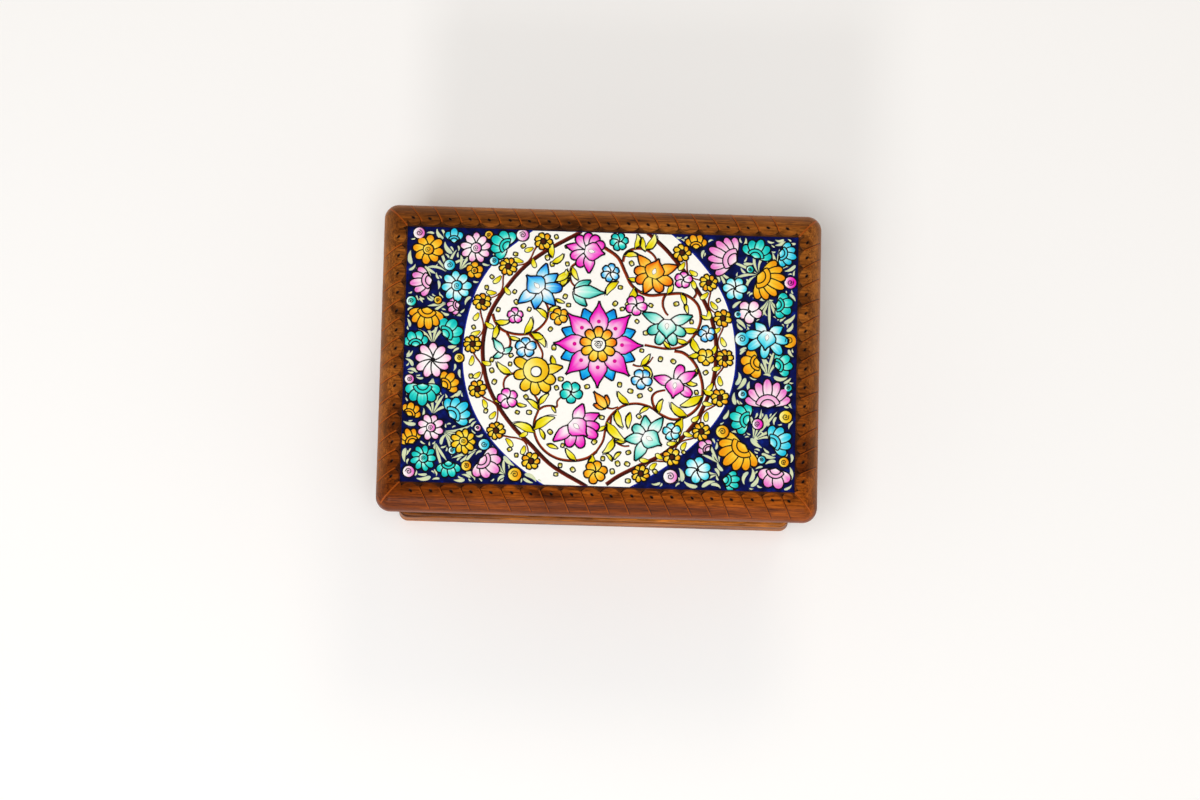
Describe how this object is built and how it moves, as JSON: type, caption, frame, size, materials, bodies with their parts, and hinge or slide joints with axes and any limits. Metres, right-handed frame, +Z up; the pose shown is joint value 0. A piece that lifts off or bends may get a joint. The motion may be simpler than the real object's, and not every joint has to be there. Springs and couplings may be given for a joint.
{
  "type": "hinged wooden box with painted papier mache lid panel",
  "caption": "Small carved walnut box with a hinged overhanging lid and a painted, lacquered papier mache panel let into it.",
  "frame": {"origin": "bottom centre of the closed box, on the surface that it stands on", "axes": "+X along the long side, +Y towards the hinges at the back, +Z up"},
  "size_m": [0.15, 0.1076, 0.056],
  "materials": {
    "walnut": "oiled and softly polished",
    "painting": "painted and lacquered papier mache",
    "velvet": "short pile",
    "hinge_brass": "satin, slightly aged",
    "screw_steel": "plain"
  },
  "bodies": {
    "box_body": {"base_board": "walnut", "front_wall": "walnut", "back_wall": "walnut", "left_wall": "walnut", "right_wall": "walnut", "base_screws": "screw_steel", "floor_lining": "velvet", "left_hinge_body_leaf": "hinge_brass", "left_hinge_pin": "hinge_brass", "right_hinge_body_leaf": "hinge_brass", "right_hinge_pin": "hinge_brass", "body_hinge_screws": "hinge_brass"},
    "lid": {"lid_board": "walnut", "painted_panel": "painting", "left_hinge_lid_leaf": "hinge_brass", "right_hinge_lid_leaf": "hinge_brass", "lid_hinge_screws": "hinge_brass"}
  },
  "joints": [
    {"name": "lid_hinge", "type": "hinge", "parent": "box_body", "child": "lid", "pos_m": [0, 0.0464, 0.0469], "axis": [-1, 0, 0], "range_deg": [0, 100]}
  ]
}
